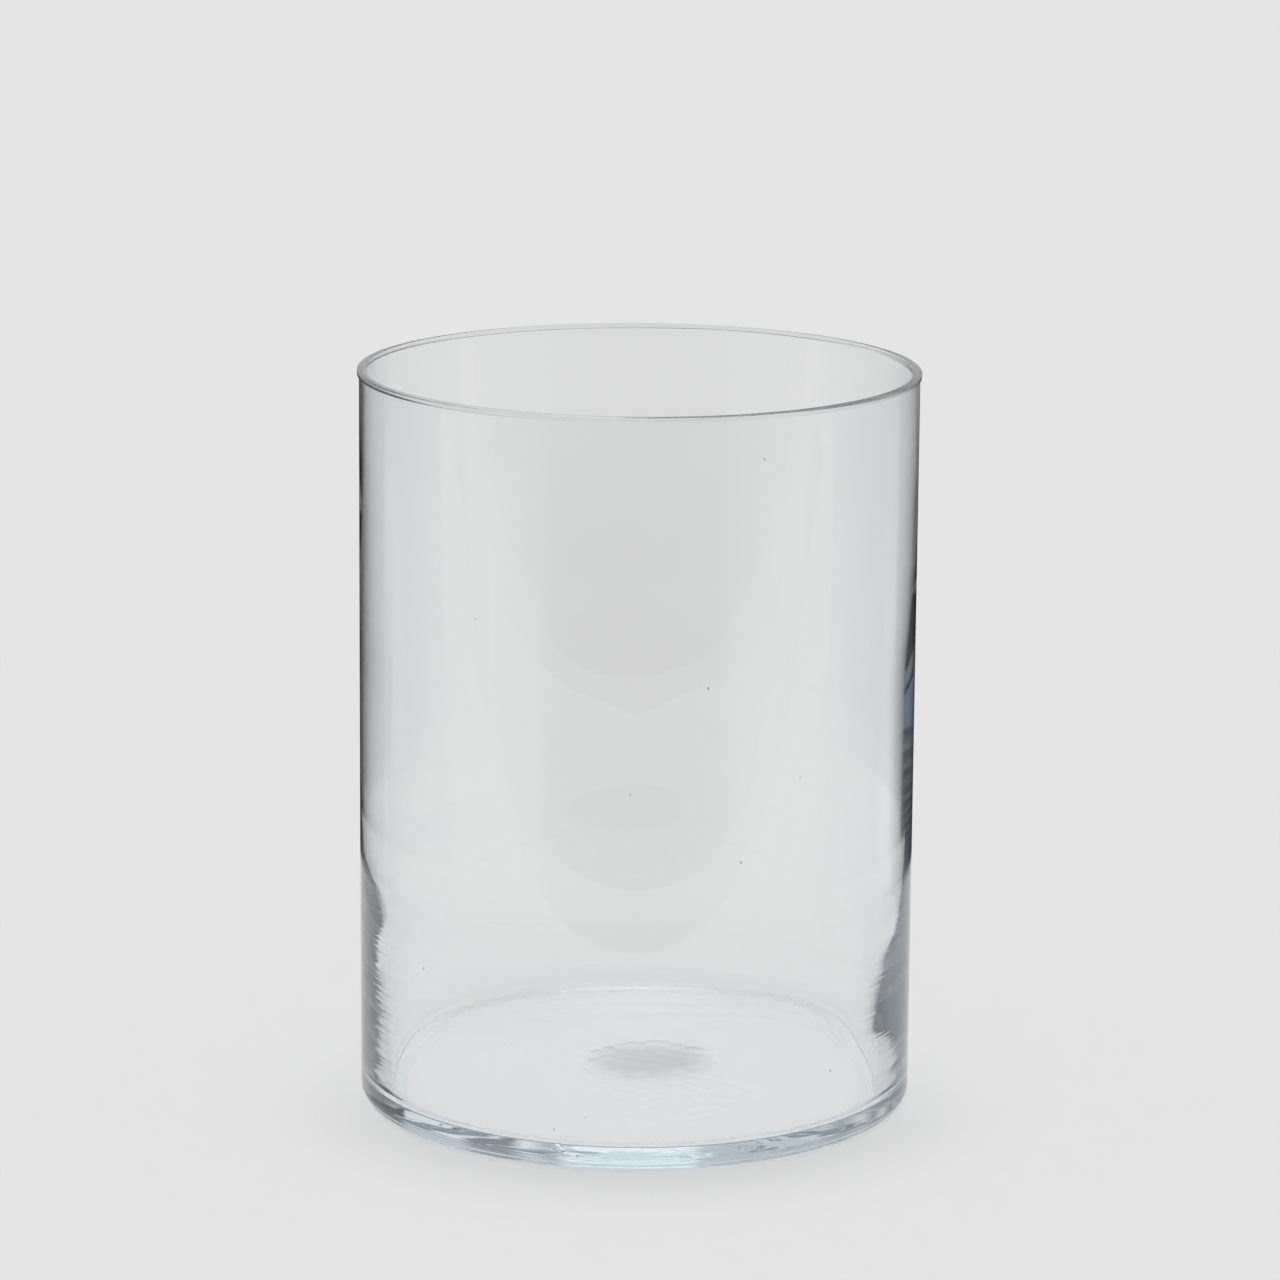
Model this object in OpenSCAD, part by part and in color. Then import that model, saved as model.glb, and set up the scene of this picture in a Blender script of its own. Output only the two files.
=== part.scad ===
// Cylinder vase of clear blown glass, all one piece.
// Millimetres, +Z up. The origin is on the vase's axis, in the plane that it stands on.

/* [Body] */
// Overall height, from the table to the top of the lip
height = 252; // [150:1:400]
// Outside diameter of the straight wall
body_d = 188; // [120:1:260]
// Thickness of the wall, above the part where it thickens
wall = 1.8; // [1.2:0.1:4]
// Height at which the wall starts to thicken towards the base
thick_from = 100; // [60:1:120]
// How much thicker the wall is where it meets the fillet round the floor
thick_extra = 6; // [1:0.1:8]

/* [Lip] */
// How far the lip stands out from the wall
lip_out = 0.6; // [0.3:0.1:1.4]
// How far the lip stands into the mouth
lip_in = 0.4; // [0.2:0.1:1]
// Height of the lip's side, with its rounded edges
lip_h = 1.4; // [1:0.1:3]

/* [Base] */
// Thickness of the base, from the table to the floor inside
base_t = 6; // [5:0.5:20]
// Radius of the rounded edge where the wall meets the underside
heel_r = 5; // [3:0.5:6]
// Radius of the fillet between the floor and the wall, inside
floor_r = 4; // [3:0.5:12]
// Width of the flat ring that the vase stands on
foot_w = 8; // [5:0.5:20]
// Depth of the hollow in the underside, at its middle
punt_depth = 1.4; // [0.6:0.1:2]
// Diameter of the shallow mark that the gather leaves in the middle of the floor
mark_d = 42; // [20:1:60]
// Depth of that mark
mark_depth = 0.5; // [0.3:0.1:1]

/* [View] */
// Which piece is drawn

/* [Hidden] */
outer_r = body_d / 2;
bore_r = outer_r - wall;
lip_t = wall + lip_out + lip_in;
lip_edge = min(lip_h, lip_t) * 0.43;
lip_z = height - lip_h;
lip_r = bore_r - lip_in;
foot_in = outer_r - heel_r - foot_w;
punt_r = (foot_in * foot_in + punt_depth * punt_depth) / (2 * punt_depth);
mark_r = (mark_d * mark_d / 4 + mark_depth * mark_depth) / (2 * mark_depth);
// the inner wall's slope below thick_from, and the fillet that is tangent to it and to the floor
slope = atan(thick_extra / (thick_from - base_t - floor_r));
fillet_z = base_t + floor_r;
fillet_c = bore_r - (thick_from - fillet_z) * tan(slope) - floor_r / cos(slope);
slope_z = fillet_z - floor_r * sin(slope);
slope_r = fillet_c + floor_r * cos(slope);

// Half of the outline outside: the straight side, its rounded heel and the lip's round edge.
module outside_profile() {
    translate([0, heel_r]) square([outer_r, height - lip_h / 2 - heel_r]);
    square([outer_r - heel_r, heel_r + 1]);
    translate([outer_r - heel_r, heel_r]) circle(r = heel_r, $fn = 96);
}

// Half of the room inside: the bore, the slope down to the base, and the fillet round the floor.
module inside_profile() {
    translate([0, thick_from]) square([bore_r, height]);
    polygon([[0, slope_z], [slope_r, slope_z], [bore_r, thick_from], [0, thick_from]]);
    translate([0, base_t]) square([fillet_c, floor_r + 1]);
    translate([fillet_c, fillet_z]) circle(r = floor_r, $fn = 96);
}

// The lip's cross-section: a flat bar with rounded edges.
module lip_profile() {
    translate([lip_r + lip_edge, lip_z]) square([lip_t - 2 * lip_edge, lip_h]);
    translate([lip_r, lip_z + lip_edge]) square([lip_t, lip_h - 2 * lip_edge]);
    for (x = [lip_r + lip_edge, lip_r + lip_t - lip_edge], z = [lip_z + lip_edge, height - lip_edge])
        translate([x, z]) circle(r = lip_edge, $fn = 64);
}

// The lip: fire has drawn the wall's edge into a narrow bead, thicker than the wall and nearly flat on top.
module lip() {
    rotate_extrude($fn = 180)
        lip_profile();
}

// The hollow underside: a shallow dome, so that only a ring touches the table.
module punt_profile() {
    translate([0, punt_depth - punt_r]) circle(r = punt_r, $fn = 1440);
}

// The gather's mark: a shallow dish in the middle of the floor.
module mark_profile() {
    translate([0, base_t - mark_depth + mark_r]) circle(r = mark_r, $fn = 1440);
}

// The mark's own reach, so that its dish cuts nothing but the floor.
module mark_reach() {
    translate([0, base_t - mark_depth - 1]) square([mark_d / 2 + 2, mark_depth + 2]);
}

// The vase: one body of glass, hollow from the lip down to the floor.
module glass_vase() {
    color([0.86, 0.92, 0.93, 0.35]) {
        rotate_extrude($fn = 180)
            difference() {
                outside_profile();
                inside_profile();
                punt_profile();
                intersection() {
                    mark_profile();
                    mark_reach();
                }
            }
        lip();
    }
}

glass_vase();
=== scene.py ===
import math

import bpy
import numpy as np
from mathutils import Matrix, Vector


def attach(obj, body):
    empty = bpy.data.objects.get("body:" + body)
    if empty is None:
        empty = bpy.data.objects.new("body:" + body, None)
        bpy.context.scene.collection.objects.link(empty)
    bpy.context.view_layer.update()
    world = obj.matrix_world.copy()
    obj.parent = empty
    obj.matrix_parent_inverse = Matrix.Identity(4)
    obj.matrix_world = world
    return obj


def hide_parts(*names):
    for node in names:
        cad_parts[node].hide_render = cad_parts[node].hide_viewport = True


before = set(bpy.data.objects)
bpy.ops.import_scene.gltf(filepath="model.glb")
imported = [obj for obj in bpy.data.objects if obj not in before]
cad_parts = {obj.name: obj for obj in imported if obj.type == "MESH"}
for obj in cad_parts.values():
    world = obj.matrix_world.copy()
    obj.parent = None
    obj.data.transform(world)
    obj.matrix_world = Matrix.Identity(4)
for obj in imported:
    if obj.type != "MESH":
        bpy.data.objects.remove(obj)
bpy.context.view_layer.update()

MM = 0.001
TAU = 2 * math.pi
rng = np.random.default_rng(356)

# ---------------------------------------------------------------- sizes, mm
H = 252.0  # top of the lip
R = 94.0  # outside of the wall
LIP_OUT, LIP_IN, LIP_ROUND, LIP_FALL = 94.6, 91.8, 0.25, 0.30  # the lip's bead
BASE = 6.0  # floor inside
HEEL = 5.0
FOOT_OUT = R - HEEL  # the ring it stands on
FOOT_IN = 81.0
PUNT = 1.4

SEG = 332
TH = np.arange(SEG) * TAU / SEG
COS, SIN = np.cos(TH), np.sin(TH)


def smooth(x, a, b):
    t = np.clip((x - a) / (b - a), 0, 1)
    return t * t * (3 - 2 * t)


def waves(count, n_lo, n_hi, k_lo, k_hi, seed):
    """Sums of waves round the axis and along z, with whole numbers of waves round it, so that they close."""
    g = np.random.default_rng(seed)
    n = g.integers(n_lo, n_hi + 1, count)
    k = g.uniform(k_lo, k_hi, count) * g.choice([-1, 1], count)
    p = g.uniform(0, TAU, count)
    a = g.uniform(0.5, 1, count)
    a /= np.sqrt((a**2).sum() / 2)

    def f(theta, z):
        out = 0
        for i in range(count):
            out = out + a[i] * np.cos(n[i] * theta + k[i] * z + p[i])
        return out

    return f


# the slow unevenness that blowing into a mould leaves, and the tighter ripples low on the wall inside
SLOW_OUT = waves(7, 1, 5, 0.006, 0.03, 11)
SLOW_IN = waves(8, 1, 7, 0.01, 0.045, 12)
RIPPLE = waves(9, 0, 4, 0.35, 1.0, 13)
FINE = waves(8, 1, 6, 0.9, 1.7, 14)
BAND = waves(5, 1, 4, 0.0, 0.02, 15)
DRAWS = waves(10, 6, 24, 0.5, 1.4, 16)

# thickness of the wall, mm, by height, on its left and right as the photograph sees it
Z_T = np.array([10, 16, 31, 40, 49.5, 65, 87, 115, 143, 171, 199, 223, 244, 252.0])
T_LEFT = np.array([8.4, 8.0, 6.9, 6.2, 5.5, 4.4, 2.4, 1.7, 1.5, 1.05, 1.0, 1.2, 1.5, 1.6])
T_RIGHT = np.array([8.8, 8.5, 7.6, 6.6, 5.5, 4.0, 3.1, 2.6, 2.05, 1.3, 1.6, 1.85, 2.4, 2.5])


def cubic(x, xs, ys):
    """A smooth monotone curve through the points."""
    h, d = np.diff(xs), np.diff(ys) / np.diff(xs)
    m = np.zeros_like(ys)
    m[0], m[-1] = d[0], d[-1]
    for i in range(1, len(xs) - 1):
        if d[i - 1] * d[i] > 0:
            w1, w2 = 2 * h[i] + h[i - 1], h[i] + 2 * h[i - 1]
            m[i] = (w1 + w2) / (w1 / d[i - 1] + w2 / d[i])
    i = np.clip(np.searchsorted(xs, x) - 1, 0, len(xs) - 2)
    t = (x - xs[i]) / h[i]
    return (
        (1 + 2 * t) * (1 - t) ** 2 * ys[i]
        + t * (1 - t) ** 2 * h[i] * m[i]
        + t * t * (3 - 2 * t) * ys[i + 1]
        + t * t * (t - 1) * h[i] * m[i + 1]
    )


def thickness(z):
    a, b = cubic(z, Z_T, T_LEFT), cubic(z, Z_T, T_RIGHT)
    t = (a + b) / 2 + (b - a) / 2 * COS
    return t + 0.10 * SLOW_IN(TH, z) * smooth(z, 20, 80)


def outside_r(z):
    """Radius of the outside wall: never past the lip."""
    return R - 0.03 + 0.03 * SLOW_OUT(TH, z)


def ring_shape(phi):
    return (
        1
        + 0.075 * np.sin(2 * phi + 1.1)
        + 0.06 * np.sin(3 * phi + 2.3)
        + 0.045 * np.sin(5 * phi + 0.6)
        + 0.03 * np.sin(8 * phi + 4.0)
        + 0.022 * np.sin(13 * phi + 1.7)
        + 0.014 * np.sin(21 * phi + 0.4)
    )


def floor_height(x, y):
    """The floor's top surface: a slow swell, faint rings near the fillet, the gather's mark and the wrinkles beside it."""
    r, phi = np.hypot(x, y), np.arctan2(y, x)
    z = BASE + 0 * x
    z = z + 0.05 * np.cos(r / 80 * math.pi)
    z = z + 0.004 * np.sin(r / 4.6 + 0.9 * np.sin(phi + 0.5)) * smooth(r, 48, 76)
    z = z + 0.002 * np.sin(r / 2.3 + 1.5 * np.sin(2 * phi + 2.0)) * smooth(r, 60, 78)
    # mark
    u, v = (x - 5) / 22, (y - 2) / 17
    p, a = np.hypot(u, v), np.arctan2(v, u)
    edge = ring_shape(a)
    front = 0.55 + 0.45 * np.cos(a + math.pi / 2 - 0.1)
    z = z - 0.14 * (1 - smooth(p, edge - 0.20, edge + 0.05))
    dashes = 0.55 + 0.45 * np.sin(9 * a + 2.0 * np.sin(4 * a + 1.0))
    z = z + (0.035 + 0.065 * front) * (0.35 + 0.65 * dashes) * np.exp(-(((p - edge) / 0.042) ** 2))
    inside = 1 - smooth(p, edge - 0.25, edge)
    z = z + inside * 0.008 * (np.sin(x * 0.62 + 1.3 * np.sin(y * 0.5)) + np.sin(y * 0.81 + 0.4 * x))
    # wrinkled patch in front of it
    u, v = (x - 15) / 25, (y + 33) / 21
    q = np.hypot(u, v)
    patch = 1 - smooth(q, 0.62, 1.06)
    warp_x = x + 2.3 * np.sin(y * 0.29 + 0.7) + 1.1 * np.sin(y * 0.71 + 2.0)
    warp_y = y + 2.0 * np.sin(x * 0.24 + 1.9) + 1.0 * np.sin(x * 0.63 + 0.3)
    fold = (
        0.32 * np.abs(np.sin(warp_y * 0.42 + 1.1 * np.sin(warp_x * 0.27)))
        + 0.30 * np.abs(np.sin(warp_y * 0.87 + warp_x * 0.49 + 1.0))
        + 0.38 * np.abs(np.sin(warp_x * 0.66 - warp_y * 0.52 + 2.2))
    )
    z = z + patch * 0.21 * (fold - 0.6) * (0.6 + 0.4 * np.sin(0.31 * x + 1.7 * np.sin(0.23 * y) + 0.4))
    z = z + 0.06 * np.exp(-(((q - 0.98 - 0.06 * np.sin(3 * np.arctan2(v, u) + 1)) / 0.06) ** 2)) * smooth(-y, -6, 20)
    near = 1 - smooth(r, 30, 66)
    return z + near * 0.003 * np.sin(x * 0.33 + 1.1) * np.sin(y * 0.41 + 0.6)


def under_height(r, phi):
    sphere = (FOOT_IN**2 + PUNT**2) / (2 * PUNT)
    z = PUNT - (sphere - np.sqrt(sphere**2 - np.minimum(r, FOOT_IN) ** 2))
    z = z + 0.006 * smooth(r, 8, 20) * (1 - smooth(r, 60, 80)) * np.sin(r / 5.5 + 0.8 * np.sin(phi + 1))
    mark = (r / 15 / (1 + 0.05 * np.sin(3 * phi + 1) + 0.03 * np.sin(7 * phi)))
    return z + 0.12 * (1 - smooth(mark, 0.70, 1.10))


rings = []  # each is (radii, heights), one of each for every angle, from the middle underneath to the middle of the floor


def add(r, z):
    rings.append((np.broadcast_to(np.asarray(r, float), SEG).copy(), np.broadcast_to(np.asarray(z, float), SEG).copy()))


for r in np.concatenate([np.arange(1.5, 24, 1.5), np.linspace(24, FOOT_IN - 0.6, 20)]):
    add(r, under_height(r, TH))
# the foot: a ring that is flat to the eye, slightly rounded on both sides
for r in np.linspace(FOOT_IN, FOOT_OUT, 7):
    add(r, 0.02 * (2 * (r - FOOT_IN) / (FOOT_OUT - FOOT_IN) - 1) ** 2)
# the heel, with the faint rings that the mould leaves on it and just above it
def mould_rings(run):
    """Height of the rings, by the way run along the outline from the foot."""
    turn = 0.9 * np.sin(TH + 0.6) + 0.6 * np.sin(2 * TH + 2.2)
    return 0.003 * np.sin(run * TAU / 1.75 + turn) + 0.003 * np.sin(run * TAU / 2.9 - 1.3 * turn + 1.0)


for a in np.radians(np.linspace(5, 90, 34)):
    s = smooth(HEEL - HEEL * math.cos(a), 2, HEEL)
    out = mould_rings(HEEL * a) * smooth(a, 0.25, 0.6)
    add(
        FOOT_OUT + (HEEL + out) * math.sin(a) + (outside_r(HEEL) - R) * s,
        HEEL - (HEEL + out) * math.cos(a) + 0.02 * (1 - smooth(a, 0, 0.5)),
    )
for z in np.arange(5.35, 11.5, 0.4):
    add(outside_r(z) + mould_rings(HEEL * math.pi / 2 + z - HEEL) * (1 - smooth(z, 7.0, 11.0)), z)
for z in np.concatenate([np.linspace(14, 239, 22), [244, 247.5, 249.6, 250.05]]):
    add(outside_r(z), z)
# the lip: a bead with a flattened top, run softly into the wall on both sides
lip_wave = 0.5 * np.sin(3 * TH + 0.7) + 0.5 * np.sin(5 * TH + 2.1)
lip_out = LIP_OUT - 0.015 + 0.015 * lip_wave
lip_in = LIP_IN + 0.03 * np.sin(4 * TH + 1.3)
lip_top = H - 0.03 + 0.03 * np.sin(2 * TH + 0.4)
lip_low = lip_top - LIP_FALL
for t in (0.15, 0.5, 0.85):
    add(outside_r(250.05) * (1 - smooth(t, 0, 1)) + lip_out * smooth(t, 0, 1), 250.1 + 0.3 * t)
for a in np.radians(np.linspace(0, 78, 6)):
    add(lip_out - LIP_ROUND + LIP_ROUND * math.cos(a), lip_low - LIP_ROUND + LIP_ROUND * math.sin(a))
for t in (0.25, 0.5, 0.75):
    add((lip_out - LIP_ROUND) * (1 - t) + (lip_in + LIP_ROUND) * t, lip_low * (1 - t) + lip_top * t - 0.005)
for a in np.radians(np.linspace(90, 180, 7)):
    add(lip_in + LIP_ROUND + LIP_ROUND * math.cos(a), lip_top - LIP_ROUND + LIP_ROUND * math.sin(a))
inner_top = outside_r(250.2) - thickness(250.2)
for t in (0.15, 0.5, 0.85):
    add(lip_in * (1 - smooth(t, 0, 1)) + inner_top * smooth(t, 0, 1), 250.9 - 0.6 * t)
for z in (249.6, 247.8, 243.5):
    add(outside_r(z) - thickness(z), z)
for z in np.concatenate([np.linspace(239, 103, 18), np.linspace(98, 42, 21), np.linspace(39.5, 11.5, 19)]):
    t = thickness(z)
    grow = smooth(-z, -100, -35)
    low = 0.008 * RIPPLE(TH, z) * grow + (0.0035 * FINE(TH, z) + 0.007 * DRAWS(TH, z)) * smooth(-z, -85, -35)
    low = low * (0.12 + 0.88 * smooth(np.abs(COS), 0.52, 0.88))
    add(outside_r(z) - t + low * (0.65 + 0.35 * np.clip(BAND(TH, z), -1, 1)), z)
FIL_X, FIL_Z = 6.0, 4.0
fillet_out = outside_r(BASE + FIL_Z) - thickness(BASE + FIL_Z)
for a in np.radians(np.linspace(5, 90, 15)):
    r = fillet_out - FIL_X + FIL_X * math.cos(a)
    z = BASE + FIL_Z - FIL_Z * math.sin(a)
    blend = smooth(a, 0.9, math.pi / 2)
    add(r, z + blend * (floor_height(r * COS, r * SIN) - BASE))
edge_r = rings[-1][0]
mean_r = edge_r.mean()
for s in np.concatenate([np.linspace(1, 0.76, 12)[1:], np.arange(0.76 * mean_r - 1.5, 29.6, -1.5) / mean_r, np.arange(29, 10, -0.52) / mean_r, np.arange(10, 0.9, -1.0) / mean_r]):
    r = edge_r * s + (1 - s) * 0
    r = r * (1 - smooth(0.8 - s, 0, 0.25)) + smooth(0.8 - s, 0, 0.25) * s * edge_r.mean()
    add(r, floor_height(r * COS, r * SIN))

RR = np.array([a for a, _ in rings])
ZZ = np.array([b for _, b in rings])
n_rings = len(rings)
verts = np.stack([RR * COS, RR * SIN, ZZ], -1).reshape(-1, 3)
bottom_pole = np.array([[0, 0, under_height(np.array(0.0), np.array(0.0))]])
top_pole = np.array([[0, 0, float(floor_height(np.array(0.0), np.array(0.0)))]])
verts = np.vstack([verts, bottom_pole, top_pole])
i_bottom, i_top = len(verts) - 2, len(verts) - 1

j = np.arange(SEG)
j1 = (j + 1) % SEG
quads = np.concatenate(
    [np.stack([i * SEG + j, i * SEG + j1, (i + 1) * SEG + j1, (i + 1) * SEG + j], 1) for i in range(n_rings - 1)]
)
fan_a = np.stack([np.full(SEG, i_bottom), j1, j], 1)
last = (n_rings - 1) * SEG
fan_b = np.stack([last + j, last + j1, np.full(SEG, i_top)], 1)

# seeds: small bubbles shut in the wall, each turned inside out, so that glass lies round it
seed_tris, seed_verts = [], []


def bubble(x, y, z, size, long=1.0, turn=0.0):
    n, m = 10, 6
    pts = [[0, 0, size * long]]
    for b in range(1, m):
        for a in range(n):
            t, p = math.pi * b / m, TAU * a / n
            pts.append([size * math.sin(t) * math.cos(p), size * math.sin(t) * math.sin(p), size * long * math.cos(t)])
    pts.append([0, 0, -size * long])
    at = len(verts) + sum(len(v) for v in seed_verts)
    tris = []
    for a in range(n):
        b = (a + 1) % n
        tris.append([0, 1 + a, 1 + b])
        tris.append([len(pts) - 1, 1 + (m - 2) * n + b, 1 + (m - 2) * n + a])
        for k in range(m - 2):
            p, q = 1 + k * n + a, 1 + k * n + b
            tris.append([p, p + n, q + n])
            tris.append([p, q + n, q])
    pts = np.array(pts) @ np.array(Matrix.Rotation(turn, 3, "X")).T + [x, y, z]
    seed_verts.append(pts)
    seed_tris.append(np.array(tris)[:, ::-1] + at)


def on_wall(x, z, side, size, long=1.5, turn=0.3):
    """A seed half way through the wall, at this x and height, on the front (-1) or the back (1)."""
    y = side * math.sqrt(R * R - x * x)
    i = int(round(math.atan2(y, x) % TAU / TAU * SEG)) % SEG
    t = float(thickness(z)[i])
    mid = (R - t / 2) / R
    bubble(x * mid, y * mid, z, min(size, t * 0.3), long, turn)


on_wall(23.0, 163.0, -1, 0.34)
on_wall(34.5, 104.0, -1, 0.30)
on_wall(-2.0, 128.0, -1, 0.26)
on_wall(40.5, 248.0 - 11, -1, 0.30)
on_wall(66.5, 27.0, -1, 0.42, 1.0)
on_wall(-27.0, 13.0, -1, 0.40, 1.0)
on_wall(-58.0, 150.0, 1, 0.24)
on_wall(61.0, 92.0, 1, 0.30)
on_wall(-71.0, 60.0, -1, 0.30)
bubble(-16.0, -52.0, 4.6, 0.50, 0.8, 0)
bubble(-44.0, 18.0, 4.2, 0.40, 0.8, 0)
bubble(31.0, 40.0, 5.0, 0.45, 0.8, 0)

all_verts = np.vstack([verts] + seed_verts) * MM
tris = np.concatenate([fan_a, fan_b] + seed_tris)

mesh = bpy.data.meshes.new("vase_glass")
mesh.vertices.add(len(all_verts))
mesh.vertices.foreach_set("co", all_verts.ravel())
n_q, n_t = len(quads), len(tris)
mesh.loops.add(4 * n_q + 3 * n_t)
mesh.loops.foreach_set("vertex_index", np.concatenate([quads.ravel(), tris.ravel()]).astype(np.int32))
mesh.polygons.add(n_q + n_t)
starts = np.concatenate([np.arange(n_q) * 4, n_q * 4 + np.arange(n_t) * 3]).astype(np.int32)
mesh.polygons.foreach_set("loop_start", starts)
mesh.polygons.foreach_set("use_smooth", np.ones(n_q + n_t, bool))
mesh.update(calc_edges=True)
mesh.validate()


def signed_volume(v, q, t):
    def part(a, b, c):
        return (np.cross(v[a], v[b]) * v[c]).sum() / 6

    return part(q[:, 0], q[:, 1], q[:, 2]) + part(q[:, 0], q[:, 2], q[:, 3]) + part(t[:, 0], t[:, 1], t[:, 2])


volume = signed_volume(verts, quads, np.concatenate([fan_a, fan_b]))
print("GLASS volume mm3", round(float(volume)), "rings", n_rings, "faces", n_q * 2 + n_t)
if volume < 0:
    mesh.flip_normals()

vase = bpy.data.objects.new("vase_glass", mesh)
bpy.context.scene.collection.objects.link(vase)

# ---------------------------------------------------------------- glass
glass = bpy.data.materials.new("clear_glass_blown")
glass.use_nodes = True
nt = glass.node_tree
nt.nodes.clear()


def node(kind, x=0, y=0, **values):
    n = nt.nodes.new(kind)
    n.location = (x, y)
    for k, v in values.items():
        setattr(n, k, v)
    return n


out = node("ShaderNodeOutputMaterial", 900, 0)
p = node("ShaderNodeBsdfPrincipled", 560, 0)
p.inputs["Base Color"].default_value = (1, 1, 1, 1)
p.inputs["Transmission Weight"].default_value = 1.0
p.inputs["IOR"].default_value = 1.51
coords = node("ShaderNodeTexCoord", -900, 0)
# handling leaves a film that is a little less clear in soft patches
film = node("ShaderNodeTexNoise", -600, 300)
film.inputs["Scale"].default_value = 22
film.inputs["Detail"].default_value = 5
film.inputs["Roughness"].default_value = 0.6
nt.links.new(coords.outputs["Object"], film.inputs["Vector"])
film_rough = node("ShaderNodeMapRange", -300, 300)
for name, v in (("From Min", 0.42), ("From Max", 0.78), ("To Min", 0.0), ("To Max", 0.03)):
    film_rough.inputs[name].default_value = v
nt.links.new(film.outputs["Fac"], film_rough.inputs["Value"])
# the gather's mark in the middle of the floor is hazy
place = node("ShaderNodeMapping", -1100, 0)
place.inputs["Location"].default_value = (-0.006 / 0.0225, -0.003 / 0.0165, -0.0045 / 0.010)
place.inputs["Scale"].default_value = (1 / 0.0225, 1 / 0.0165, 1 / 0.010)
nt.links.new(coords.outputs["Object"], place.inputs["Vector"])
ragged = node("ShaderNodeTexNoise", -1100, -300)
ragged.inputs["Scale"].default_value = 90
ragged.inputs["Detail"].default_value = 4
nt.links.new(coords.outputs["Object"], ragged.inputs["Vector"])
reach = node("ShaderNodeVectorMath", -900, 0, operation="LENGTH")
nt.links.new(place.outputs["Vector"], reach.inputs[0])
uneven = node("ShaderNodeMath", -740, 0, operation="MULTIPLY_ADD")
uneven.inputs[1].default_value = 0.9
nt.links.new(ragged.outputs["Fac"], uneven.inputs[0])
nt.links.new(reach.outputs["Value"], uneven.inputs[2])
haze = node("ShaderNodeMapRange", -560, 0)
for name, v in (("From Min", 1.50), ("From Max", 1.20), ("To Min", 0.0), ("To Max", 1.0)):
    haze.inputs[name].default_value = v
nt.links.new(uneven.outputs["Value"], haze.inputs["Value"])
height = node("ShaderNodeSeparateXYZ", -900, -700)
nt.links.new(coords.outputs["Object"], height.inputs[0])
above = node("ShaderNodeMapRange", -300, 450, interpolation_type="SMOOTHSTEP")
for name, v in (("From Min", 0.014), ("From Max", 0.050), ("To Min", 0.0), ("To Max", 1.0)):
    above.inputs[name].default_value = v
nt.links.new(height.outputs[2], above.inputs["Value"])
on_wall = node("ShaderNodeMath", -150, 350, operation="MULTIPLY")
nt.links.new(film_rough.outputs["Result"], on_wall.inputs[0])
nt.links.new(above.outputs["Result"], on_wall.inputs[1])
both = node("ShaderNodeMath", -100, 200, operation="MULTIPLY_ADD")
both.inputs[1].default_value = 0.12
nt.links.new(haze.outputs["Result"], both.inputs[0])
nt.links.new(on_wall.outputs["Value"], both.inputs[2])
# so is the lip, where the fire has drawn the edge together
at_lip = node("ShaderNodeMapRange", -560, 600, interpolation_type="SMOOTHSTEP")
for name, v in (("From Min", 0.24995), ("From Max", 0.25025), ("To Min", 0.0), ("To Max", 1.0)):
    at_lip.inputs[name].default_value = v
nt.links.new(height.outputs[2], at_lip.inputs["Value"])
lip_rough = node("ShaderNodeMath", -400, 600, operation="MULTIPLY_ADD")
lip_rough.inputs[1].default_value = 0.14
nt.links.new(at_lip.outputs["Result"], lip_rough.inputs[0])
nt.links.new(both.outputs["Value"], lip_rough.inputs[2])
nt.links.new(lip_rough.outputs["Value"], p.inputs["Roughness"])
# the grey of the mark comes and goes in fine folds
folds_at = node("ShaderNodeMapping", -1300, -900)
folds_at.inputs["Scale"].default_value = (90, 110, 90)
nt.links.new(coords.outputs["Object"], folds_at.inputs["Vector"])
folds = node("ShaderNodeTexNoise", -1100, -900)
folds.inputs["Scale"].default_value = 1.0
folds.inputs["Detail"].default_value = 4
folds.inputs["Distortion"].default_value = 0.8
nt.links.new(folds_at.outputs["Vector"], folds.inputs["Vector"])
fold_share = node("ShaderNodeMapRange", -900, -900)
for name, v in (("From Min", 0.34), ("From Max", 0.66), ("To Min", 0.50), ("To Max", 0.95)):
    fold_share.inputs[name].default_value = v
nt.links.new(folds.outputs["Fac"], fold_share.inputs["Value"])
mark_grey = node("ShaderNodeMath", -400, -100, operation="MULTIPLY")
nt.links.new(haze.outputs["Result"], mark_grey.inputs[0])
nt.links.new(fold_share.outputs["Result"], mark_grey.inputs[1])
# painted shade on the lip: its colour is greyed all round, standing in for the dark reflections in the rim; the mark's
# grey is its own
all_grey = node("ShaderNodeMath", -250, -100, operation="MULTIPLY_ADD")
all_grey.inputs[1].default_value = 0.42
nt.links.new(at_lip.outputs["Result"], all_grey.inputs[0])
nt.links.new(mark_grey.outputs["Value"], all_grey.inputs[2])
grey = node("ShaderNodeMixRGB", -100, 0)
grey.inputs[1].default_value = (1, 1, 1, 1)
grey.inputs[2].default_value = (0.78, 0.787, 0.80, 1)
nt.links.new(all_grey.outputs["Value"], grey.inputs[0])
nt.links.new(grey.outputs[0], p.inputs["Base Color"])
# faint rings low on the wall, most at its sides
rings_at = node("ShaderNodeMapping", -900, -500)
rings_at.inputs["Scale"].default_value = (12, 12, 700)
nt.links.new(coords.outputs["Object"], rings_at.inputs["Vector"])
fine = node("ShaderNodeTexNoise", -700, -500)
fine.inputs["Scale"].default_value = 1.0
fine.inputs["Detail"].default_value = 2
nt.links.new(rings_at.outputs["Vector"], fine.inputs["Vector"])
low_down = node("ShaderNodeMapRange", -700, -700, interpolation_type="SMOOTHSTEP")
for name, v in (("From Min", 0.095), ("From Max", 0.040), ("To Min", 0.0), ("To Max", 1.0)):
    low_down.inputs[name].default_value = v
nt.links.new(height.outputs[2], low_down.inputs["Value"])
off_floor = node("ShaderNodeMapRange", -700, -900, interpolation_type="SMOOTHSTEP")
for name, v in (("From Min", 0.0085), ("From Max", 0.014), ("To Min", 0.0), ("To Max", 1.0)):
    off_floor.inputs[name].default_value = v
nt.links.new(height.outputs[2], off_floor.inputs["Value"])
where = node("ShaderNodeMath", -500, -700, operation="MULTIPLY")
nt.links.new(low_down.outputs["Result"], where.inputs[0])
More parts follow.
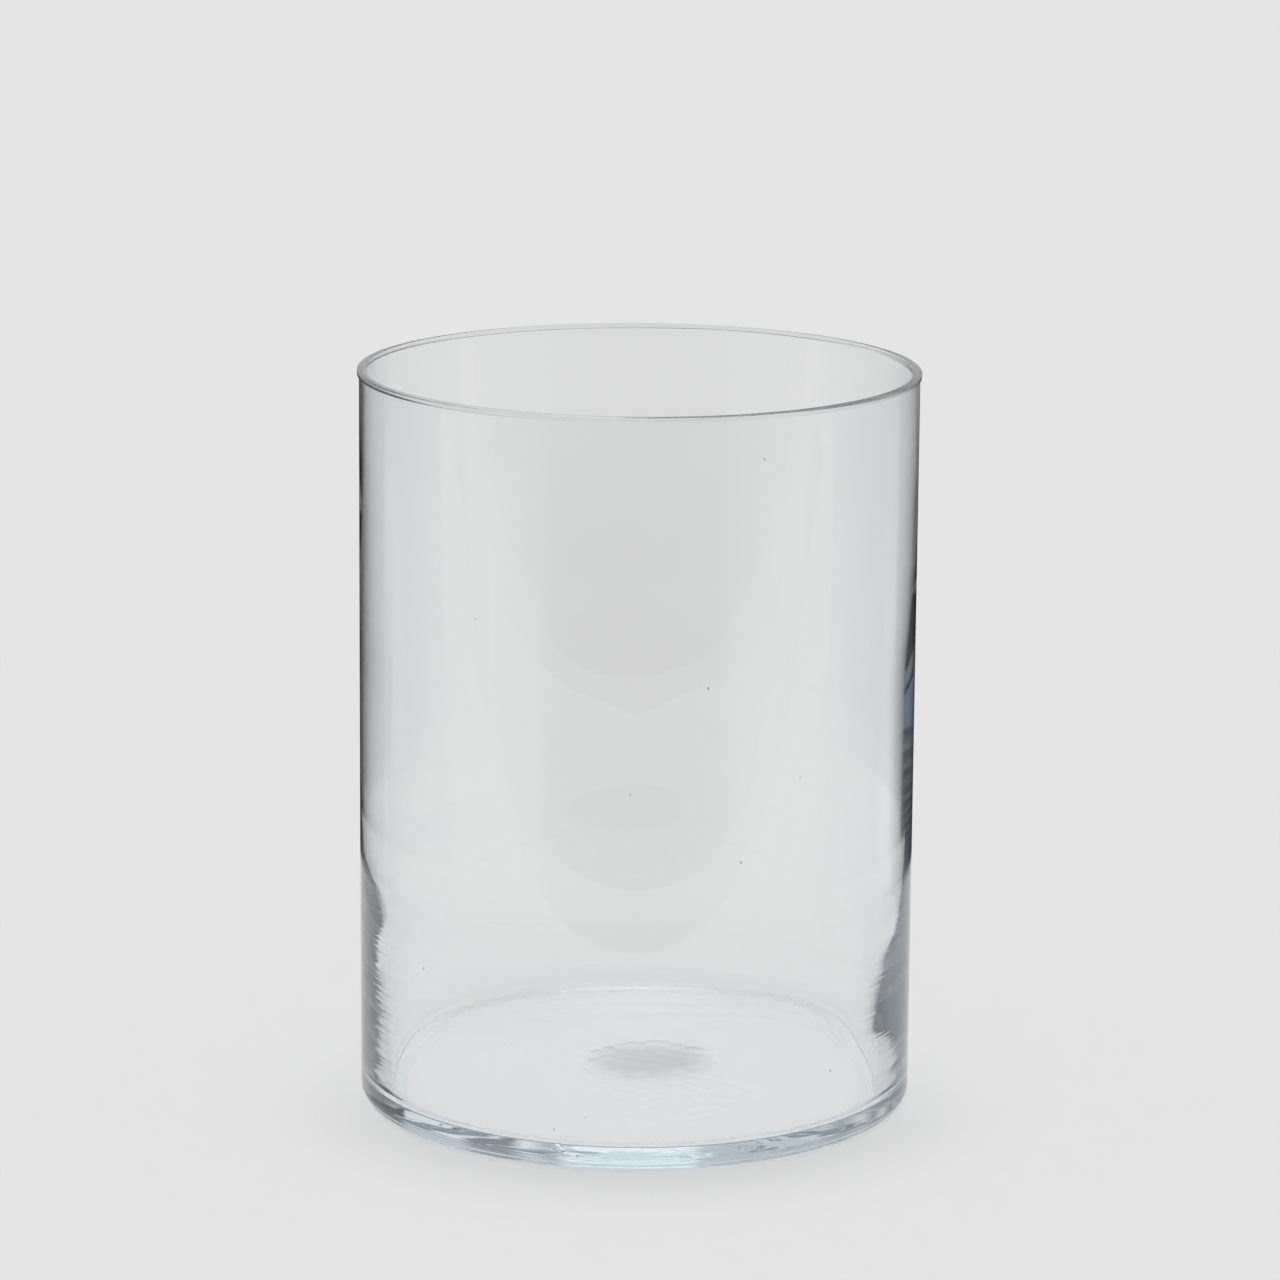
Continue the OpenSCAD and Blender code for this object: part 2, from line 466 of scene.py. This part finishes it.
nt.links.new(off_floor.outputs["Result"], where.inputs[1])
from_axis = node("ShaderNodeMath", -900, -1100, operation="ABSOLUTE")
nt.links.new(height.outputs[0], from_axis.inputs[0])
at_sides = node("ShaderNodeMapRange", -700, -1100, interpolation_type="SMOOTHSTEP")
for name, v in (("From Min", 0.045), ("From Max", 0.082), ("To Min", 0.15), ("To Max", 1.0)):
    at_sides.inputs[name].default_value = v
nt.links.new(from_axis.outputs["Value"], at_sides.inputs["Value"])
where_sides = node("ShaderNodeMath", -400, -800, operation="MULTIPLY")
nt.links.new(where.outputs["Value"], where_sides.inputs[0])
nt.links.new(at_sides.outputs["Result"], where_sides.inputs[1])
rings_high = node("ShaderNodeMath", -320, -500, operation="MULTIPLY")
nt.links.new(fine.outputs["Fac"], rings_high.inputs[0])
nt.links.new(where_sides.outputs["Value"], rings_high.inputs[1])
bump = node("ShaderNodeBump", -150, -400)
bump.inputs["Strength"].default_value = 1.0
bump.inputs["Distance"].default_value = 0.00002
nt.links.new(rings_high.outputs["Value"], bump.inputs["Height"])
nt.links.new(bump.outputs["Normal"], p.inputs["Normal"])
absorb = node("ShaderNodeVolumeAbsorption", 560, -420)
absorb.inputs["Color"].default_value = (0.40, 0.70, 0.88, 1)
absorb.inputs["Density"].default_value = 2.0
nt.links.new(p.outputs["BSDF"], out.inputs["Surface"])
nt.links.new(absorb.outputs["Volume"], out.inputs["Volume"])
mesh.materials.append(glass)

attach(vase, "root")
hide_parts("glass_vase")

# ---------------------------------------------------------------- stage
WHITE = 0.783  # the photograph's even background, linear


def flat(name, corners, material):
    m = bpy.data.meshes.new(name)
    m.from_pydata([tuple(c) for c in corners], [], [tuple(range(len(corners)))])
    m.update()
    o = bpy.data.objects.new(name, m)
    o.data.materials.append(material)
    bpy.context.scene.collection.objects.link(o)
    return o


FLOOR_ALBEDO = 0.65
# Painted reflections: what the glass mirrors is given a darker, listed brightness than what is seen straight through
# it, as in a studio whose lit table and backdrop end a little outside the picture. Each entry is (degrees from the
# camera's side, share of WHITE).
LEFT_SIDE = [(0, 0.06), (16, 0.08), (30, 0.14), (36, 0.20), (41, 0.46), (52, 0.60), (58, 0.68), (60.5, 0.66), (62, 0.95), (63.5, 0.74), (74, 0.82),
             (90, 0.80), (100, 0.66), (109, 0.60), (118, 0.52), (125, 0.46), (127, 0.64), (129, 0.42), (134, 0.42), (141, 0.41),
             (148, 0.32), (155, 0.20), (161, 0.08), (167, 0.03), (176, 0.04), (180, 0.3)]
RIGHT_SIDE = [(0, 0.06), (16, 0.08), (30, 0.16), (36, 0.22), (41, 0.48), (52, 0.62), (58, 0.70), (74, 0.80), (90, 0.80), (98, 0.70),
              (108, 0.70), (119, 0.70), (124, 0.95), (132, 0.95), (135, 0.50), (146, 0.34), (154, 0.20), (161, 0.08), (167, 0.03), (176, 0.04), (180, 0.3)]
FAR = 0.48  # the same, close to the level of the eye
# painted reflection colour: the cool tint of what low rays mirrored by the glass see
TINT = (0.925, 0.98, 1.02)
THROUGH_NEAR, THROUGH_FAR = 0.99, 1.05  # painted light and shade: the paper's tone for rays seen through the glass, under the base and far behind it
THROUGH = 0.95  # painted shade: what lies behind the glass, beside the bare backdrop, is dimmer for rays seen through it
# Painted light and shade in the thick base: the listed brightness given to rays guided across it, by the direction they
# come from behind the vase: (degrees, left to right, share of WHITE)
GUIDED = [(-90, 0.3), (-72, 0.22), (-66, 0.50), (-61, 0.16), (-55, 0.60), (-50, 0.22), (-44, 0.66), (-36, 0.34), (-31, 0.66), (-27, 0.58),
          (-9, 0.60), (-8, 1.20), (4, 1.05), (9, 1.20), (11, 0.42), (15, 0.85), (18, 0.24), (25, 0.26), (28, 0.78), (44, 0.74),
          (46, 0.03), (74, 0.03), (78, 0.3), (90, 0.3)]
LONG_WAY = 0.50  # painted shade: how much darker the floor and world are made for rays that many mirrorings inside the glass have guided
GUIDED_UP, GUIDED_DOWN = 1.30, 0.88  # the same, above the table's far edge and on the table
TABLE_EDGE = 0.36


class Graph:
    """Short names for the nodes of one tree."""

    def __init__(self, tree):
        self.t = tree
        tree.nodes.clear()

    def new(self, kind, **values):
        n = self.t.nodes.new(kind)
        for k, v in values.items():
            setattr(n, k, v)
        return n

    def put(self, socket, value):
        if isinstance(value, bpy.types.NodeSocket):
            self.t.links.new(value, socket)
        else:
            socket.default_value = value

    def math(self, op, a, b=0.0, clamp=False):
        n = self.new("ShaderNodeMath", operation=op, use_clamp=clamp)
        self.put(n.inputs[0], a)
        self.put(n.inputs[1], b)
        return n.outputs[0]

    def step(self, value, lo, hi, a=0.0, b=1.0, kind="SMOOTHSTEP"):
        n = self.new("ShaderNodeMapRange", interpolation_type=kind)
        for name, v in (("Value", value), ("From Min", lo), ("From Max", hi), ("To Min", a), ("To Max", b)):
            self.put(n.inputs[name], v)
        return n.outputs["Result"]

    def ramp(self, value, stops):
        n = self.new("ShaderNodeValToRGB")
        e = n.color_ramp.elements
        while len(e) < len(stops):
            e.new(0.5)
        for i, (at, v) in enumerate(stops):
            e[i].position = at
            e[i].color = (v, v, v, 1)
        self.put(n.inputs["Fac"], value)
        return n.outputs["Color"]

    def sides(self, x, y):
        """The painted reflection: the share of WHITE that is mirrored from the direction of x, y."""
        turn = self.math("ARCTAN2", self.math("ABSOLUTE", x), self.math("MULTIPLY", y, -1.0))
        u = self.math("DIVIDE", turn, math.pi)
        left = self.ramp(u, [(d / 180, v) for d, v in LEFT_SIDE])
        right = self.ramp(u, [(d / 180, v) for d, v in RIGHT_SIDE])
        side = self.step(x, -0.02, 0.02)
        return self.math("ADD", self.math("MULTIPLY", right, side), self.math("MULTIPLY", left, self.math("SUBTRACT", 1.0, side)))

    def guide(self, x, y):
        """The painted light: the share of WHITE given to rays that the thick base guides to the camera, from the
        direction of x, y behind it.
        """
        turn = self.math("DIVIDE", self.math("ARCTAN2", x, y), math.pi)
        return self.ramp(self.math("ADD", turn, 0.5, clamp=True), [((d + 90) / 180, v) for d, v in GUIDED])

    def ways(self):
        """Whether the light was mirrored by the glass on its way to the camera, came through it or was guided across
        the base, and the factor of painted shade for a long way inside it.
        """
        path = self.new("ShaderNodeLightPath")
        direct = self.math("LESS_THAN", path.outputs["Diffuse Depth"], 0.5)
        mirrored = self.math("MULTIPLY", self.math("GREATER_THAN", path.outputs["Glossy Depth"], 0.5), direct)
        through = self.math("MULTIPLY", self.math("GREATER_THAN", path.outputs["Transmission Depth"], 0.5), direct)
        once = self.math("MULTIPLY", self.math("GREATER_THAN", path.outputs["Transmission Depth"], 1.5), self.math("LESS_THAN", path.outputs["Transmission Depth"], 2.5))
        often = self.math("GREATER_THAN", path.outputs["Glossy Depth"], 1.5)
        guided = self.math("MULTIPLY", self.math("MULTIPLY", once, often), direct)
        long_way = self.math("MULTIPLY", self.step(path.outputs["Glossy Depth"], 11.0, 18.0, 0.0, LONG_WAY), direct)
        seldom = self.math("MULTIPLY", self.math("MULTIPLY", once, self.math("SUBTRACT", 1.0, often)), direct)
        return mirrored, through, guided, seldom, self.math("SUBTRACT", 1.0, long_way)


def mix(g, a, b, share):
    """a where share is 0, b where it's 1."""
    return g.math("ADD", g.math("MULTIPLY", a, g.math("SUBTRACT", 1.0, share)), g.math("MULTIPLY", b, share))


paper = bpy.data.materials.new("paper_floor")
paper.use_nodes = True
g = Graph(paper.node_tree)
at = g.new("ShaderNodeNewGeometry").outputs["Position"]
xyz = g.new("ShaderNodeSeparateXYZ")
g.put(xyz.inputs[0], at)
X, Y = xyz.outputs[0], xyz.outputs[1]
far_off = g.math("SQRT", g.math("ADD", g.math("MULTIPLY", X, X), g.math("MULTIPLY", Y, Y)))
mirrored, through, guided, seldom, painted_long_way_dim = g.ways()
# painted contact shadow: the paper's colour darkened softly round the base, a little towards the camera
y_off = g.math("ADD", Y, 0.010)
ring_r = g.math("SQRT", g.math("ADD", g.math("MULTIPLY", X, X), g.math("MULTIPLY", y_off, y_off)))
shade = g.math("POWER", g.step(ring_r, 0.088, 0.150, 1.0, 0.0, "LINEAR"), 2.2)
shade = g.math("MULTIPLY", shade, g.step(far_off, 0.088, 0.092))
shade = g.math("MULTIPLY", shade, g.step(Y, 0.03, -0.06, 0.35, 1.0))
tone = g.math("MULTIPLY", FLOOR_ALBEDO, g.math("SUBTRACT", 1.0, g.math("MULTIPLY", shade, 0.13)))
# painted light and shade: the paper seen through the glass is a little darker near the base and a little brighter far
# behind it
tone = g.math("MULTIPLY", tone, mix(g, 1.0, g.step(far_off, 0.10, 0.26, THROUGH_NEAR, THROUGH_FAR), through))
# painted light and shade in the base: the paper seen by rays that the base has guided takes the listed GUIDED
# brightness
guided = g.math("MULTIPLY", guided, g.step(far_off, 0.40, 0.30))
from_base = g.guide(X, g.math("SUBTRACT", Y, 0.085))
tone = g.math("MULTIPLY", tone, mix(g, 1.0, g.math("MULTIPLY", from_base, GUIDED_DOWN), guided))
# painted shade: the paper is darker for rays that many mirrorings inside the glass have guided
tone = g.math("MULTIPLY", tone, painted_long_way_dim)
# painted light: the paper close behind the base, seen almost level through it, is made 1.5 times brighter, the
# brightest
behind = g.math("MULTIPLY", g.step(far_off, 0.24, 0.18), g.step(Y, 0.05, 0.08))
tone = g.math("MULTIPLY", tone, mix(g, 1.0, 1.50, g.math("MULTIPLY", behind, seldom)))
colour = g.new("ShaderNodeCombineColor")
for i in range(3):
    g.put(colour.inputs[i], tone)
diffuse = g.new("ShaderNodeBsdfDiffuse")
g.put(diffuse.inputs["Color"], colour.outputs[0])
# Past the table's edge the floor lets rays mirrored by the glass through, so that they see the world's painted dark
# reflection instead of the paper.
past_front = g.step(Y, -TABLE_EDGE + 0.002, -TABLE_EDGE - 0.002)
past_round = g.step(far_off, TABLE_EDGE - 0.03, TABLE_EDGE)
outside = g.math("MAXIMUM", past_front, g.math("MULTIPLY", past_round, g.step(Y, -0.16, -0.06)))
gone = g.new("ShaderNodeBsdfTransparent")
choose = g.new("ShaderNodeMixShader")
g.put(choose.inputs[0], g.math("MULTIPLY", outside, mirrored))
g.put(choose.inputs[1], diffuse.outputs[0])
g.put(choose.inputs[2], gone.outputs[0])
end = g.new("ShaderNodeOutputMaterial")
g.put(end.inputs["Surface"], choose.outputs[0])
floor = flat("floor", [(-14, -14, -0.0002), (14, -14, -0.0002), (14, 14, -0.0002), (-14, 14, -0.0002)], paper)

# ---------------------------------------------------------------- light
world = bpy.data.worlds.new("studio")
bpy.context.scene.world = world
world.use_nodes = True
g = Graph(world.node_tree)
xyz = g.new("ShaderNodeSeparateXYZ")
g.put(xyz.inputs[0], g.new("ShaderNodeTexCoord").outputs["Generated"])
X, Y, Z = xyz.outputs
mirrored, through, guided, seldom, painted_long_way_dim = g.ways()
TOP = WHITE + (WHITE / FLOOR_ALBEDO - WHITE) * 1.5
base = g.step(Z, 0.0, 1.0, WHITE, TOP, "LINEAR")
# painted reflections, seen only by rays mirrored by the glass: the listed darker sides low down, painted bright bands
# above
low = g.step(Z, 0.035, 0.10, 1.0, 0.0)
below = mix(g, FAR, g.sides(X, Y), g.step(Z, -0.145, -0.19))
# painted reflections above the horizon, which only rays mirrored by the glass see: a dimmer ring and a brighter patch
# straight overhead
above = g.step(Z, 0.30, 0.55, WHITE * 1.0, WHITE * 0.86)
above = g.math("ADD", above, g.step(Z, 0.90, 0.97, 0.0, WHITE * 0.32))
# a painted softbox reflection: a brighter band that only mirrored rays see; there is no lamp there
painted_softbox_reflection = g.math("MULTIPLY", g.step(Z, 0.38, 0.43), g.step(Z, 0.66, 0.60))
above = g.math("ADD", above, g.math("MULTIPLY", painted_softbox_reflection, WHITE * 0.12))
glance = mix(g, above, g.math("MULTIPLY", below, WHITE), low)
# painted light and shade in the base: the world seen by rays that the base has guided takes the listed GUIDED
# brightness
sideways = g.math("MULTIPLY", g.math("MULTIPLY", g.guide(X, Y), WHITE), g.step(Z, -0.06, 0.08, GUIDED_DOWN, GUIDED_UP))
# painted shade: rays that came through the glass see a dimmer world than the lit dome
plain = mix(g, base, g.step(Z, 0.30, 0.60, WHITE * THROUGH, WHITE * 0.80), through)
back = g.new("ShaderNodeBackground")
# painted reflection colour: the cool TINT, only for low rays mirrored by the glass
tinted = g.new("ShaderNodeCombineColor")
for i in range(3):
    g.put(tinted.inputs[i], mix(g, 1.0, TINT[i], g.math("MULTIPLY", low, mirrored)))
g.put(back.inputs["Color"], tinted.outputs[0])
strength = mix(g, mix(g, plain, glance, mirrored), sideways, g.math("MULTIPLY", guided, g.step(Z, 0.60, 0.45)))
# painted shade: the world is darker for rays that many mirrorings inside the glass have guided
g.put(back.inputs["Strength"], g.math("MULTIPLY", strength, painted_long_way_dim))
end = g.new("ShaderNodeOutputWorld")
g.put(end.inputs["Surface"], back.outputs[0])

# ---------------------------------------------------------------- camera
d, h, yaw, pitch, roll, f_px = 1.84060718, 0.568225807, 4.45853072e-04, 0.218988894, 7.53100566e-03, 5571.12278
fwd = Vector((math.sin(yaw) * math.cos(pitch), math.cos(yaw) * math.cos(pitch), -math.sin(pitch)))
right = Vector((math.cos(yaw), -math.sin(yaw), 0))
up = right.cross(fwd)
x_axis = right * math.cos(roll) + up * math.sin(roll)
y_axis = -right * math.sin(roll) + up * math.cos(roll)
cam_data = bpy.data.cameras.new("camera")
cam = bpy.data.objects.new("camera", cam_data)
bpy.context.scene.collection.objects.link(cam)
m = Matrix.Identity(4)
for row in range(3):
    m[row][0], m[row][1], m[row][2] = x_axis[row], y_axis[row], -fwd[row]
m[0][3], m[1][3], m[2][3] = 0.0, -d, h
cam.matrix_world = m
cam_data.sensor_width = 36
cam_data.lens = f_px / 1280 * 36
cam_data.clip_start, cam_data.clip_end = 0.05, 60
bpy.context.scene.camera = cam

# ---------------------------------------------------------------- how light is followed
scene = bpy.context.scene
scene.view_settings.view_transform = "Standard"
scene.view_settings.look = "None"
scene.cycles.max_bounces = 96
scene.cycles.transmission_bounces = 48
scene.cycles.glossy_bounces = 72
scene.cycles.diffuse_bounces = 6
scene.cycles.volume_bounces = 0
scene.cycles.caustics_reflective = True
scene.cycles.caustics_refractive = True
scene.cycles.blur_glossy = 0.0
scene.cycles.use_denoising = True
scene.cycles.seed = 7
